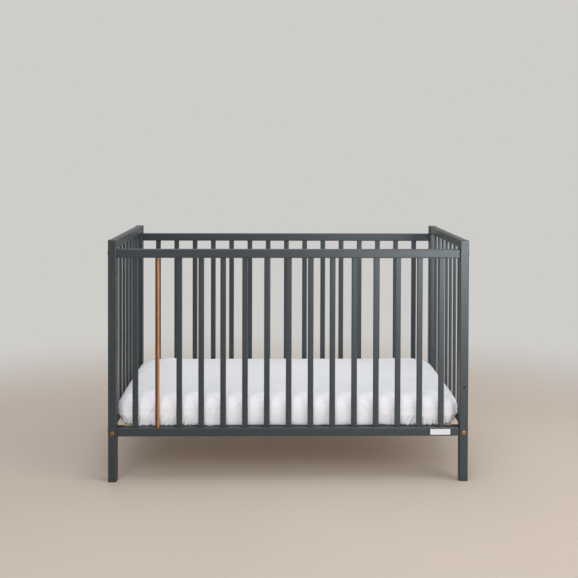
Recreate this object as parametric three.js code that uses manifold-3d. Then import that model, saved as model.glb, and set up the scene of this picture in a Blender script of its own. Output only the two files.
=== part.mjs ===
// A wooden cot for a 1200 x 600 mm mattress, in millimetres, +Z up.
// The origin is on the floor at the middle of the cot. X runs along it, and -Y is its front.
import * as THREE from "three";
import { mergeVertices } from "three/addons/utils/BufferGeometryUtils.js";
import Module from "manifold-3d";

const wasm = await Module();
wasm.setup();

// Outside of the frame.
const LENGTH = 1250;
const WIDTH = 650;
const HEIGHT = 840;

// Timber sections.
const POST = 30;
const RAIL_THICKNESS = 24;
const RAIL_HEIGHT = 30;
const BAR_WIDTH = 20;
const BAR_THICKNESS = 9.5;
const DOWEL = 15; // diameter of the round bar
const EDGE_RADIUS = 3;
const BAR_EDGE_RADIUS = 2.8;
const END_EASE = 2.4; // rounding of the ends of posts and rails

// Heights of the panels.
const SIDE_TOP_DROP = 32; // top of the posts down to the top of the side panels
const SIDE_BOTTOM = 158; // floor to the underside of the side panels

// Bars, spread evenly between the first and the last.
const SIDE_BARS = 15;
const SIDE_MARGIN = 53; // post to the nearest bar
const END_BARS = 7;
const END_MARGIN = 57;
const DOWEL_PLACE = 2; // counted from the left of the front panel
const BAR_HOUSING = 10; // length of a bar's end inside its rail
const HOUSING_CORNER = 0.6; // a housing's corner radius, as a share of the bar's

// Tenons of the end rails, in the posts.
const TENON_LENGTH = 15;
const TENON_THICKNESS = 12;
const TENON_HEIGHT = 18;

// Slatted base.
const BASE_RAIL_THICKNESS = 24;
const BASE_RAIL_HEIGHT = 30;
const BASE_RAIL_OVERRUN = 7; // past the bolt's centre line, at each end
const BASE_TO_END_RAIL = 8; // top of the long rails up to the end panels' bottom rails
const BASE_SLATS = 13;
const BASE_SLAT_WIDTH = 60;
const BASE_SLAT_THICKNESS = 9;
const SLAT_HOUSING = 1; // depth that a slat is let into the long rails
const SLAT_SETBACK = 12; // outer faces of the long rails to the slats' ends
const SLAT_END_MARGIN = 20; // mattress's end to the first slat
const BASE_STEP = 158; // lower to upper setting of the base

// Bolts and nuts.
const BOLT = 6; // thread diameter
const BOLT_CLEARANCE = 0.5; // round a bolt in its hole
const BOLT_HEAD = 15.5;
const BOLT_HEAD_THICKNESS = 2.4;
const SOCKET = 4.6; // across the corners of the hexagon
const SOCKET_DEPTH = 1.8;
const PANEL_BOLT_LENGTH = 60;
const PANEL_BOLT_DROP = 9; // below the top of the side panels' bottom rails
const BARREL_NUT = 10;
const BARREL_NUT_LENGTH = 12;
const BARREL_NUT_INSET = 20; // rail's end to the nut's centre
const BOLT_SPACING = 9; // a panel bolt above the base bolt that it crosses
const BASE_BOLT_LENGTH = 50;
const INSERT_NUT = 9;
const INSERT_NUT_LENGTH = 12;
const INSERT_FLANGE = 17;
const INSERT_FLANGE_THICKNESS = 1.5;

// Bedding.
const MATTRESS_HEIGHT = 104;
const MATTRESS_CLEARANCE = 3; // to the rails, all round
const MATTRESS_CORNER = 62; // radius seen from above
const MATTRESS_TOP_EDGE = 27;
const MATTRESS_BOTTOM_EDGE = 13;
const SHEET = 2; // the sheet and its gathers, as thick as they lie
const HEM = 75; // width of sheet turned under the mattress

// Name plate.
const PLATE_LENGTH = 75;
const PLATE_HEIGHT = 25;
const PLATE_THICKNESS = 1.2;
const PLATE_CORNER = 3;
const PLATE_END_MARGIN = 29; // rail's end to the plate

// Clearance between pieces that meet.
const FIT = 0.3;

// How finely round shapes are cut.
const EDGE_STEPS = 3;
const BAR_EDGE_STEPS = 2;
const DOWEL_STEPS = 16;
const BOLT_STEPS = 10;
const HOLE_STEPS = 8;
const SOFT_STEPS = 3;

// What follows from the sizes above.
const POST_X = (LENGTH - POST) / 2;
const POST_Y = (WIDTH - POST) / 2;
const CLEAR_LENGTH = LENGTH - 2 * POST;
const CLEAR_WIDTH = WIDTH - 2 * POST;
const SIDE_RAIL_LENGTH = CLEAR_LENGTH - 2 * FIT;
const END_RAIL_LENGTH = CLEAR_WIDTH - 2 * FIT;
const SIDE_TOP = HEIGHT - SIDE_TOP_DROP;
const SIDE_TOP_RAIL_Z = SIDE_TOP - RAIL_HEIGHT / 2;
const SIDE_BOTTOM_RAIL_Z = SIDE_BOTTOM + RAIL_HEIGHT / 2;
const LOWER_PANEL_BOLT_Z = SIDE_BOTTOM + RAIL_HEIGHT - PANEL_BOLT_DROP;
const BASE_BOLT_Z = LOWER_PANEL_BOLT_Z - BOLT_SPACING;
const BASE_RAIL_TOP = BASE_BOLT_Z + BASE_RAIL_HEIGHT / 2;
const BASE_TOP = BASE_RAIL_TOP + BASE_SLAT_THICKNESS - SLAT_HOUSING;
const END_TOP_RAIL_Z = HEIGHT - RAIL_HEIGHT / 2;
const END_BOTTOM_RAIL_Z = BASE_RAIL_TOP + BASE_TO_END_RAIL + RAIL_HEIGHT / 2;
const BASE_RAIL_Y = WIDTH / 2 - POST - FIT - BASE_RAIL_THICKNESS / 2;
const BED_LENGTH = 2 * POST_X - RAIL_THICKNESS - 2 * MATTRESS_CLEARANCE;
const BED_WIDTH = 2 * POST_Y - RAIL_THICKNESS - 2 * MATTRESS_CLEARANCE;
const BOLT_HOLE = BOLT + 2 * BOLT_CLEARANCE;

const painted = new THREE.MeshStandardMaterial({ color: 0x43484c, roughness: 0.45 });
const naturalBeech = new THREE.MeshStandardMaterial({ color: 0xc08d5f, roughness: 0.5 });
const rawPine = new THREE.MeshStandardMaterial({ color: 0xd6b58a, roughness: 0.8 });
const brassed = new THREE.MeshStandardMaterial({ color: 0xb08a52, roughness: 0.35, metalness: 1 });
const foam = new THREE.MeshStandardMaterial({ color: 0xf0ede4, roughness: 0.95 });
const cotton = new THREE.MeshStandardMaterial({ color: 0xe8e6e4, roughness: 0.9 });
const enamel = new THREE.MeshStandardMaterial({ color: 0xf4f4f2, roughness: 0.3 });

// A closed geometry as a solid that can be joined and cut.
function solid(geometry) {
  const bare = geometry.clone();
  bare.deleteAttribute("normal");
  bare.deleteAttribute("uv");
  const merged = mergeVertices(bare, 1e-4);
  return new wasm.Manifold(
    new wasm.Mesh({
      numProp: 3,
      vertProperties: merged.attributes.position.array,
      triVerts: new Uint32Array(merged.index.array),
    }),
  );
}

// The geometry of a solid, with every face flat.
function faceted(made) {
  const { vertProperties, triVerts } = made.getMesh();
  const indexed = new THREE.BufferGeometry();
  indexed.setAttribute("position", new THREE.BufferAttribute(vertProperties, 3));
  indexed.setIndex(new THREE.BufferAttribute(triVerts, 1));
  const flat = indexed.toNonIndexed();
  flat.computeVertexNormals();
  return flat;
}

function cut(body, tools) {
  return faceted(solid(body).subtract(wasm.Manifold.union(tools.map(solid))));
}

function join(bodies) {
  return faceted(wasm.Manifold.union(bodies.map(solid)));
}

// A rectangle about the origin with rounded corners.
function roundedRectangle(width, height, radius, steps) {
  const points = [];
  const corners = [[1, 1], [-1, 1], [-1, -1], [1, -1]];
  corners.forEach(([sideX, sideY], quarter) => {
    for (let step = 0; step <= steps; step++) {
      const angle = ((quarter + step / steps) * Math.PI) / 2;
      const x = sideX * (width / 2 - radius) + radius * Math.cos(angle);
      const y = sideY * (height / 2 - radius) + radius * Math.sin(angle);
      points.push(new THREE.Vector2(x, y));
    }
  });
  return new THREE.Shape(points);
}

// A section pushed up from z = 0, with both ends rounded over.
function pushed(section, length, ease = 0, easeSteps = 1) {
  const geometry = new THREE.ExtrudeGeometry(section, {
    depth: length - 2 * ease,
    bevelEnabled: ease > 0,
    bevelThickness: ease,
    bevelSize: ease,
    bevelOffset: -ease,
    bevelSegments: easeSteps,
  });
  return geometry.translate(0, 0, ease);
}

// A post or rail about the middle of its length, along Z, with every edge rounded.
function timber(width, depth, length) {
  const section = roundedRectangle(width, depth, EDGE_RADIUS, EDGE_STEPS);
  return pushed(section, length, Math.min(END_EASE, 0.8 * EDGE_RADIUS)).translate(0, 0, -length / 2);
}

function flatBarSection() {
  return roundedRectangle(BAR_WIDTH, BAR_THICKNESS, BAR_EDGE_RADIUS, BAR_EDGE_STEPS);
}

// The housing is squarer in its corners than the bar, as a narrow cutter leaves it.
function flatHousingSection() {
  const corner = HOUSING_CORNER * BAR_EDGE_RADIUS;
  return roundedRectangle(BAR_WIDTH + 2 * FIT, BAR_THICKNESS + 2 * FIT, corner, 1);
}

function roundBarSection(growth = 0) {
  const radius = DOWEL / 2 + growth;
  const points = [];
  for (let step = 0; step < DOWEL_STEPS; step++) {
    const angle = (2 * Math.PI * step) / DOWEL_STEPS;
    points.push(new THREE.Vector2(radius * Math.cos(angle), radius * Math.sin(angle)));
  }
  return new THREE.Shape(points);
}

function cylinderX(diameter, length, steps = HOLE_STEPS) {
  return new THREE.CylinderGeometry(diameter / 2, diameter / 2, length, steps).rotateZ(Math.PI / 2);
}

function cylinderY(diameter, length, steps = HOLE_STEPS) {
  return new THREE.CylinderGeometry(diameter / 2, diameter / 2, length, steps);
}

function cylinderZ(diameter, length, steps = HOLE_STEPS) {
  return new THREE.CylinderGeometry(diameter / 2, diameter / 2, length, steps).rotateX(Math.PI / 2);
}

// Places of evenly spread bars along a panel whose clear opening is given.
function barPlaces(clear, margin, count) {
  const first = -clear / 2 + margin + BAR_WIDTH / 2;
  const pitch = (-2 * first) / (count - 1);
  return Array.from({ length: count }, (_, k) => first + k * pitch);
}

const sidePlaces = barPlaces(CLEAR_LENGTH, SIDE_MARGIN, SIDE_BARS);
const endPlaces = barPlaces(CLEAR_WIDTH, END_MARGIN, END_BARS);

// A post standing on z = 0, with the mortises for its end rails facing +Y.
function post() {
  const body = timber(POST, POST, HEIGHT).translate(0, 0, HEIGHT / 2);
  const cuts = [];
  for (const z of [END_TOP_RAIL_Z, END_BOTTOM_RAIL_Z]) {
    const mortise = new THREE.BoxGeometry(
      TENON_THICKNESS + 2 * FIT,
      2 * (TENON_LENGTH + FIT),
      TENON_HEIGHT + 2 * FIT,
    );
    cuts.push(mortise.translate(0, POST / 2, z));
  }
  for (const z of [SIDE_TOP_RAIL_Z, LOWER_PANEL_BOLT_Z])
    cuts.push(cylinderX(BOLT_HOLE, 2 * POST).translate(0, 0, z));
  for (const z of [BASE_BOLT_Z, BASE_BOLT_Z + BASE_STEP])
    cuts.push(cylinderY(BOLT_HOLE, 2 * POST).translate(0, 0, z));
  return cut(body, cuts);
}

// A side rail along X about its middle, housed for the bars on one side (up is 1, down is -1)
// and drilled at each end for a bolt and, from below, for the bolt's barrel nut.
function sideRail(barSide, boltZ, dowelPlace) {
  const body = timber(RAIL_HEIGHT, RAIL_THICKNESS, SIDE_RAIL_LENGTH).rotateY(Math.PI / 2);
  const depth = BAR_HOUSING + FIT;
  const cuts = sidePlaces.map((x, k) => {
    const section = k + 1 === dowelPlace ? roundBarSection(FIT) : flatHousingSection();
    const middle = barSide * (RAIL_HEIGHT / 2);
    return pushed(section, 2 * depth).translate(x, 0, middle - depth);
  });
  const boltReach = PANEL_BOLT_LENGTH - POST + FIT;
  for (const side of [-1, 1]) {
    const end = (side * SIDE_RAIL_LENGTH) / 2;
    cuts.push(cylinderX(BOLT_HOLE, 2 * boltReach).translate(end, 0, boltZ));
    const bottom = -RAIL_HEIGHT;
    const top = boltZ + BARREL_NUT_LENGTH / 2 + FIT;
    const nutHole = cylinderZ(BARREL_NUT + 2 * FIT, top - bottom);
    cuts.push(nutHole.translate(end - side * BARREL_NUT_INSET, 0, (top + bottom) / 2));
  }
  return cut(body, cuts);
}

// An end rail along Y about its middle, with a tenon on each end.
function endRail() {
  const body = timber(RAIL_THICKNESS, RAIL_HEIGHT, END_RAIL_LENGTH).rotateX(Math.PI / 2);
  const tenons = new THREE.BoxGeometry(
    TENON_THICKNESS,
    END_RAIL_LENGTH + 2 * TENON_LENGTH,
    TENON_HEIGHT,
  );
  return join([body, tenons]);
}

// The end panels' top rail, housed from below for the ends of its bars.
function endTopRail() {
  const depth = BAR_HOUSING + FIT;
  const housings = endPlaces.map((y) =>
    pushed(flatHousingSection(), 2 * depth)
      .rotateZ(Math.PI / 2)
      .translate(0, y, -RAIL_HEIGHT / 2 - depth),
  );
  return cut(endRail(), housings);
}

// The end panels' bottom rail with its bars glued in, about the rail's middle.
function endGrille() {
  const barTop = END_TOP_RAIL_Z - RAIL_HEIGHT / 2 + BAR_HOUSING - END_BOTTOM_RAIL_Z;
  const bars = endPlaces.map((y) =>
    pushed(flatBarSection(), barTop).rotateZ(Math.PI / 2).translate(0, y, 0),
  );
  return join([endRail(), ...bars]);
}

// A bar of the side panels, with both ends in their housings, about its middle.
function sideBar(section) {
  const clear = SIDE_TOP - SIDE_BOTTOM - 2 * RAIL_HEIGHT;
  const length = clear + 2 * BAR_HOUSING;
  return pushed(section, length).translate(0, 0, -length / 2);
}

// Two long rails with the cross slats let into their tops. The bolts' centre line is at z = 0.
function slattedBase() {
  const railLength = 2 * (POST_X + BASE_RAIL_OVERRUN);
  const slatLength = 2 * (BASE_RAIL_Y - SLAT_SETBACK) + BASE_RAIL_THICKNESS;
  const slatZ = BASE_RAIL_HEIGHT / 2 - SLAT_HOUSING + BASE_SLAT_THICKNESS / 2;
  const pieces = [];
  const holes = [];
  for (const side of [-1, 1]) {
    const rail = new THREE.BoxGeometry(railLength, BASE_RAIL_THICKNESS, BASE_RAIL_HEIGHT);
    pieces.push(rail.translate(0, side * BASE_RAIL_Y, 0));
    for (const end of [-1, 1]) {
      const insertHole = cylinderY(INSERT_NUT + 2 * FIT, 2 * (INSERT_NUT_LENGTH + FIT));
      const innerFace = side * (BASE_RAIL_Y - BASE_RAIL_THICKNESS / 2);
      holes.push(insertHole.translate(end * POST_X, innerFace, 0));
      const boltHole = cylinderY(BOLT_HOLE, 2 * BASE_RAIL_THICKNESS);
      holes.push(boltHole.translate(end * POST_X, side * BASE_RAIL_Y, 0));
    }
  }
  const firstSlat = -(BED_LENGTH - BASE_SLAT_WIDTH) / 2 + SLAT_END_MARGIN;
  for (let k = 0; k < BASE_SLATS; k++) {
    const slat = new THREE.BoxGeometry(BASE_SLAT_WIDTH, slatLength, BASE_SLAT_THICKNESS);
    pieces.push(slat.translate(firstSlat * (1 - (2 * k) / (BASE_SLATS - 1)), 0, slatZ));
  }
  return cut(join(pieces), holes);
}

// A bolt whose head stands on z = 0 and whose shank runs down from it, with a hexagon socket.
function boltAlone(length) {
  const profile = [
    [0, -length],
    [BOLT / 2, -length],
    [BOLT / 2, 0],
    [BOLT_HEAD / 2, 0],
    [BOLT_HEAD / 2, BOLT_HEAD_THICKNESS],
    [0, BOLT_HEAD_THICKNESS],
  ].map(([radius, height]) => new THREE.Vector2(radius, height));
  const turned = new THREE.LatheGeometry(profile, BOLT_STEPS).rotateX(Math.PI / 2);
  const socket = cylinderZ(SOCKET, 2 * SOCKET_DEPTH, 6).translate(0, 0, BOLT_HEAD_THICKNESS);
  return cut(turned, [socket]);
}

// The head of a bolt stands off its post by the fit, so each distance below adds it.
function panelBolt() {
  const nut = cylinderX(BARREL_NUT, BARREL_NUT_LENGTH);
  const depth = POST + 2 * FIT + BARREL_NUT_INSET;
  return join([boltAlone(PANEL_BOLT_LENGTH), nut.translate(0, 0, -depth)]);
}

function baseBolt() {
  const innerFace = POST + 2 * FIT + BASE_RAIL_THICKNESS;
  const insert = cylinderZ(INSERT_NUT, INSERT_NUT_LENGTH + FIT);
  insert.translate(0, 0, -innerFace + (INSERT_NUT_LENGTH - FIT) / 2);
  const flange = cylinderZ(INSERT_FLANGE, INSERT_FLANGE_THICKNESS);
  flange.translate(0, 0, -innerFace - FIT - INSERT_FLANGE_THICKNESS / 2);
  return join([boltAlone(BASE_BOLT_LENGTH), insert, flange]);
}

// A slab of the bedding's outline, drawn in from its outside on every side, standing on z = inset.
// It is what two taller slabs share: one has the top edge's rounding and one the bottom edge's.
function beddingSlab(inset) {
  const outline = roundedRectangle(
    BED_LENGTH - 2 * inset,
    BED_WIDTH - 2 * inset,
    MATTRESS_CORNER - inset,
    SOFT_STEPS,
  );
  const tall = 2 * MATTRESS_HEIGHT;
  const top = pushed(outline, tall, MATTRESS_TOP_EDGE - inset, SOFT_STEPS);
  const bottom = pushed(outline, tall, MATTRESS_BOTTOM_EDGE - inset, SOFT_STEPS);
  top.translate(0, 0, MATTRESS_HEIGHT - inset - tall);
  bottom.translate(0, 0, inset);
  return faceted(solid(top).intersect(solid(bottom)));
}

// The sheet covers the mattress and turns under it, and is open below inside its hem.
function fittedSheet() {
  const opening = roundedRectangle(
    BED_LENGTH - 2 * HEM,
    BED_WIDTH - 2 * HEM,
    MATTRESS_CORNER,
    SOFT_STEPS,
  );
  const through = pushed(opening, 4 * SHEET).translate(0, 0, -2 * SHEET);
  return cut(beddingSlab(0), [beddingSlab(SHEET), through]);
}

function namePlate() {
  const outline = roundedRectangle(PLATE_LENGTH, PLATE_HEIGHT, PLATE_CORNER, EDGE_STEPS);
  return pushed(outline, PLATE_THICKNESS, PLATE_THICKNESS / 4).rotateX(Math.PI / 2);
}

function place(parent, name, geometry, material, position, rotation = [0, 0, 0]) {
  const mesh = new THREE.Mesh(geometry, material);
  mesh.name = name;
  mesh.position.set(...position);
  mesh.rotation.set(...rotation);
  parent.add(mesh);
}

const crib = new THREE.Group();
const frame = new THREE.Group();
const bedding = new THREE.Group();
crib.add(frame, bedding);

const ENDS = [["left", -1], ["right", 1]];
const SIDES = [["front", -1], ["rear", 1]];

for (const [sideName, side] of SIDES)
  for (const [endName, end] of ENDS) {
    const turn = side < 0 ? 0 : Math.PI;
    const name = `${sideName}_${endName}_post`;
    place(frame, name, post(), painted, [end * POST_X, side * POST_Y, 0], [0, 0, turn]);
  }

for (const [endName, end] of ENDS) {
  const x = end * POST_X;
  place(frame, `${endName}_end_top_rail`, endTopRail(), painted, [x, 0, END_TOP_RAIL_Z]);
  place(frame, `${endName}_end_grille`, endGrille(), painted, [x, 0, END_BOTTOM_RAIL_Z]);
}

for (const [sideName, side] of SIDES) {
  const y = side * POST_Y;
  const dowelPlace = side < 0 ? DOWEL_PLACE : 0;
  const topRail = sideRail(-1, 0, dowelPlace);
  const bottomRail = sideRail(1, LOWER_PANEL_BOLT_Z - SIDE_BOTTOM_RAIL_Z, dowelPlace);
  place(frame, `${sideName}_top_rail`, topRail, painted, [0, y, SIDE_TOP_RAIL_Z]);
  place(frame, `${sideName}_bottom_rail`, bottomRail, painted, [0, y, SIDE_BOTTOM_RAIL_Z]);
  sidePlaces.forEach((x, k) => {
    const round = k + 1 === dowelPlace;
    const name = round ? "natural_round_bar" : `${sideName}_bar_${String(k + 1).padStart(2, "0")}`;
    const section = round ? roundBarSection() : flatBarSection();
    const material = round ? naturalBeech : painted;
    place(frame, name, sideBar(section), material, [x, y, (SIDE_TOP + SIDE_BOTTOM) / 2]);
  });
}

place(frame, "slatted_base", slattedBase(), rawPine, [0, 0, BASE_BOLT_Z]);

for (const [sideName, side] of SIDES)
  for (const [endName, end] of ENDS) {
    const corner = `${sideName}_${endName}`;
    const outerX = end * (LENGTH / 2 + FIT);
    const toEnd = [0, (end * Math.PI) / 2, 0];
    const upper = [outerX, side * POST_Y, SIDE_TOP_RAIL_Z];
    const lower = [outerX, side * POST_Y, LOWER_PANEL_BOLT_Z];
    place(frame, `${corner}_upper_panel_bolt`, panelBolt(), brassed, upper, toEnd);
    place(frame, `${corner}_lower_panel_bolt`, panelBolt(), brassed, lower, toEnd);
    const baseSeat = [end * POST_X, side * (WIDTH / 2 + FIT), BASE_BOLT_Z];
    const toSide = [(-side * Math.PI) / 2, 0, 0];
    place(frame, `${corner}_base_bolt`, baseBolt(), brassed, baseSeat, toSide);
  }

const plateX = SIDE_RAIL_LENGTH / 2 - PLATE_END_MARGIN - PLATE_LENGTH / 2;
const plateY = -POST_Y - RAIL_THICKNESS / 2 - FIT;
place(frame, "name_plate", namePlate(), enamel, [plateX, plateY, SIDE_BOTTOM_RAIL_Z]);

bedding.position.z = BASE_TOP + FIT;
place(bedding, "mattress_core", beddingSlab(SHEET + FIT), foam, [0, 0, 0]);
place(bedding, "fitted_sheet", fittedSheet(), cotton, [0, 0, 0]);

export default crib;
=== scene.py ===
"""A wooden baby cot: a painted frame, one natural bar, a slatted base, a mattress and its fitted sheet.

It is laid out as an add-on and run as a script. It dresses the fixed frame piece by piece, in metres.
"""

import math
import random

import bmesh
import bpy
from bpy.props import FloatProperty, FloatVectorProperty, IntProperty, PointerProperty
from mathutils import Matrix, Vector, noise


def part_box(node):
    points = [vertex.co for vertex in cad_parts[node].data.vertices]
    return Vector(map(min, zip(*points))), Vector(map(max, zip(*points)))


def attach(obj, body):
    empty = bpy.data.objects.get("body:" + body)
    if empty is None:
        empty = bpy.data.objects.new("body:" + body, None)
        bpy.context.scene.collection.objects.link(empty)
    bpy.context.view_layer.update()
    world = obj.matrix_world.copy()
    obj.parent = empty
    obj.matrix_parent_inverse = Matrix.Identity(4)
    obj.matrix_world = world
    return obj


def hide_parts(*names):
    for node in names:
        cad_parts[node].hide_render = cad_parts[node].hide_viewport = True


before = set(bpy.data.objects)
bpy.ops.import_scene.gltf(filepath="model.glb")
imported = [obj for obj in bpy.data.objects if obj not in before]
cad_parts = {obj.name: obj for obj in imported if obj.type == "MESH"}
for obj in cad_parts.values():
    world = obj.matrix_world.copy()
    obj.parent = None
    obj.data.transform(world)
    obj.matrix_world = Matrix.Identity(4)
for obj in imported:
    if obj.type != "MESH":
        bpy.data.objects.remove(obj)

bl_info = {
    "name": "Wooden baby cot",
    "version": (1, 0, 0),
    "blender": (4, 5, 0),
    "location": "3D View > Sidebar > Cot",
    "description": "Models and finishes a painted cot around its fixed frame",
    "category": "Object",
}

MM = 0.001
X, Y, Z = Vector((1, 0, 0)), Vector((0, 1, 0)), Vector((0, 0, 1))
SIDES = {"front": -1, "rear": 1}
ENDS = {"left": -1, "right": 1}
FRAME_BODY, BEDDING_BODY = "cot_frame", "mattress"


# ---------------------------------------------------------------- what a user would change


def linear(code):
    """The linear red, green and blue of an sRGB hex code."""
    values = [int(code[i : i + 2], 16) / 255 for i in (0, 2, 4)]
    return tuple(v / 12.92 if v <= 0.04045 else ((v + 0.055) / 1.055) ** 2.4 for v in values)


def length(name, description, millimetres):
    """A length that a user can change."""
    return FloatProperty(name=name, description=description, default=millimetres * MM, unit="LENGTH")


def colour(name, description, code):
    """A colour that a user can change."""
    return FloatVectorProperty(name=name, description=description, default=linear(code), subtype="COLOR")


class CotTimber(bpy.types.PropertyGroup):
    """How the timbers are rounded and jointed."""

    edge: length("Edge radius", "Rounding along posts and rails", 3)
    bar_edge: length("Bar edge radius", "Rounding along the flat bars", 2.8)
    end_ease: length("End rounding", "Rounding round the ends of posts and rails", 2.4)
    rail_ease: length("Rail end rounding", "Rounding of side rails beside the posts", 4.2)
    fit: length("Fit", "Clearance round a bar in its mortise", 0.3)
    hole: length("Bolt hole", "Diameter of the bores in the posts", 7)
    base_step: length("Base step", "Lower to upper bores for the base's bolts", 158)
    slats: IntProperty(name="Slats", description="Number of cross slats in the base", default=13, min=2)
    slat_width: length("Slat width", "Width of a cross slat", 60)
    slat_margin: length("Slat margin", "Mattress's end to the first slat", 20)
    slat_thickness: length("Slat thickness", "Thickness of a cross slat", 9)
    base_rail: length("Base rail thickness", "Thickness of the base's long rails", 24)
    slat_setback: length("Slat setback", "Outside of a long rail to a slat's end", 12)


class CotMetal(bpy.types.PropertyGroup):
    """Sizes of the bolt heads and the name plate."""

    socket: length("Socket", "Hexagon socket, across its corners", 5.6)
    socket_depth: length("Socket depth", "Depth of the hexagon socket", 3.6)
    shank: length("Shank", "Diameter of the bolt's shank", 6)
    plate_corner: length("Plate corner", "Corner radius of the name plate", 3)
    plate_border: length("Plate border", "Width of the plate's dark border", 2.2)


class CotBedding(bpy.types.PropertyGroup):
    """Shape of the mattress and of the sheet on it."""

    corner: length("Corner radius", "The mattress's corners, seen from above", 42)
    top_edge: length("Top rounding", "Rounding of the mattress's top edge", 34)
    bottom_edge: length("Bottom rounding", "Rounding of its bottom edge", 7)
    crown: length("Crown", "How far the middle of the top stands up", 2)
    end_swell: length("End swell", "How far the ends swell out at mid height", 7)
    side_swell: length("Side swell", "How far the long sides swell out", 3.6)
    corner_reach: length("Corner reach", "How much of each side a corner draws in", 130)
    corner_drop: length("Corner drop", "How far a corner of the top is drawn down", 10)
    corner_tuck: length("Corner tuck", "How far a bottom corner is drawn in", 7)
    hem: length("Turned under", "Width of sheet turned under the mattress", 75)
    grid: length("Cloth grid", "Mesh size of the sheet while it is simulated", 10)
    spare: FloatProperty(name="Spare cloth", description="How much larger than the mattress the sheet is",
                         default=0.02, subtype="FACTOR")
    frames: IntProperty(name="Frames", description="Length of the cloth simulation", default=40, min=1)
    gather_reach: length("Gathers' reach", "Length of elastic each side of a corner", 300)
    gather_height: length("Gathers' height", "How far up the side the gathers run", 34)
    droop: length("Droop", "How far the cloth hangs beside the slats' ends", 9)


class CotColours(bpy.types.PropertyGroup):
    """Main colours of the finishes."""

    paint: colour("Paint", "Lacquer on the frame", "2C3336")
    wood: colour("Natural bar", "Oiled beech of the round bar", "8E5730")
    brass: colour("Brass", "Plating of the bolts", "9C774F")
    sheet: colour("Sheet", "Cotton of the fitted sheet", "F4F4F6")
    floor: colour("Floor", "Plain floor of the stage", "CFC1B2")


SETTINGS = {"cot_timber": CotTimber, "cot_metal": CotMetal, "cot_bedding": CotBedding,
            "cot_colours": CotColours}


# ---------------------------------------------------------------- modelling by operators


def deselect_all():
    """Object mode, with nothing selected."""
    if bpy.context.object and bpy.context.object.mode != "OBJECT":
        bpy.ops.object.mode_set(mode="OBJECT")
    bpy.ops.object.select_all(action="DESELECT")


def make_active(piece):
    """Object mode, with this piece alone selected and active."""
    deselect_all()
    piece.select_set(True)
    bpy.context.view_layer.objects.active = piece


def edit(piece, kind, wanted):
    """Edit mode on a piece, with the edges or faces that wanted accepts selected."""
    make_active(piece)
    bpy.ops.object.mode_set(mode="EDIT")
    bpy.ops.mesh.select_mode(type=kind)
    bpy.ops.mesh.select_all(action="DESELECT")
    mesh = bmesh.from_edit_mesh(piece.data)
    mesh.normal_update()
    for part in mesh.edges if kind == "EDGE" else mesh.faces:
        if wanted(part):
            part.select_set(True)
    bmesh.update_edit_mesh(piece.data)


def named(piece, name):
    """Names a piece and its mesh."""
    piece.name = name
    piece.data.name = name
    return piece


def block(name, low, high):
    """A rectangular block between two corners, to be shaped further."""
    deselect_all()
    bpy.ops.mesh.primitive_cube_add(size=1, location=(low + high) / 2)
    piece = bpy.context.object
    piece.scale = high - low
    bpy.ops.object.transform_apply(location=True, rotation=False, scale=True)
    return named(piece, name)


def rod(name, centre, axis, diameter, long, sides):
    """A round rod along an axis, to be shaped further."""
    deselect_all()
    bpy.ops.mesh.primitive_cylinder_add(
        vertices=sides, radius=diameter / 2, depth=long, location=centre,
        rotation=Z.rotation_difference(axis).to_euler(),
    )
    bpy.ops.object.transform_apply(location=True, rotation=True, scale=True)
    return named(bpy.context.object, name)


def runs_along(edge, axis):
    """Whether an edge lies along an axis."""
    way = edge.verts[1].co - edge.verts[0].co
    return abs(way.normalized().dot(axis)) > 0.99


def at_end(edge, axis, places):
    """Whether an edge lies in one of the end planes of its piece."""
    return any(all(abs(v.co.dot(axis) - place) < 1e-5 for v in edge.verts) for place in places)


def bevel(offset, segments):
    """Rounds the selected edges."""
    bpy.ops.mesh.bevel(offset=offset, segments=segments, affect="EDGES", profile=0.5, clamp_overlap=True)


def apply(piece, kind, **values):
    """Adds a modifier with these values and applies it."""
    make_active(piece)
    modifier = piece.modifiers.new(kind.title(), kind)
    for key, value in values.items():
        setattr(modifier, key, value)
    bpy.ops.object.modifier_apply(modifier=modifier.name)


def cut(piece, cutters):
    """Cuts the cutters out of a piece, and deletes them."""
    deselect_all()
    for cutter in cutters:
        cutter.select_set(True)
    bpy.context.view_layer.objects.active = cutters[0]
    if len(cutters) > 1:
        bpy.ops.object.join()
    tool = bpy.context.object
    apply(piece, "BOOLEAN", object=tool, operation="DIFFERENCE", solver="EXACT")
    bpy.data.objects.remove(tool)


def crisp(piece, angle=35):
    """Smooth shading that keeps flat faces flat beside their rounded edges."""
    make_active(piece)
    bpy.ops.object.shade_smooth_by_angle(angle=math.radians(angle))
    apply(piece, "WEIGHTED_NORMAL", keep_sharp=True, weight=100)


def timber(name, low, high, along, radius, end_ease, steps=4):
    """A planed timber between two corners, with rounded edges and eased ends."""
    piece = block(name, low, high)
    edit(piece, "EDGE", lambda edge: runs_along(edge, along))
    bevel(radius, steps)
    if end_ease:
        places = (low.dot(along), high.dot(along))
        edit(piece, "EDGE", lambda edge: at_end(edge, along, places))
        bevel(end_ease, max(2, steps - 1))
    deselect_all()
    return piece


def mortise(low, high, sizes):
    """A cutter for a flat bar's mortise, larger than the bar by the fit."""
    grow = Vector((1, 1, 1)) * sizes.fit
    return timber("mortise", low - grow, high + grow, Z, sizes.bar_edge, 0, 3)


def copy_of(piece, name, move=Vector(), turn=None):
    """A copy with a mesh of its own, turned about the origin and then moved."""
    twin = piece.copy()
    twin.data = piece.data.copy()
    bpy.context.scene.collection.objects.link(twin)
    if turn is not None:
        twin.data.transform(turn)
    twin.data.transform(Matrix.Translation(move))
    return named(twin, name)


def finish(piece, material, body, node):
    """Paints a piece and ties it to its body and to the node that it stands for."""
    deselect_all()
    piece.data.materials.clear()
    for coat in material if isinstance(material, list) else [material]:
        piece.data.materials.append(coat)
    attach(piece, body)
    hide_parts(node)


# ---------------------------------------------------------------- materials


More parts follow.
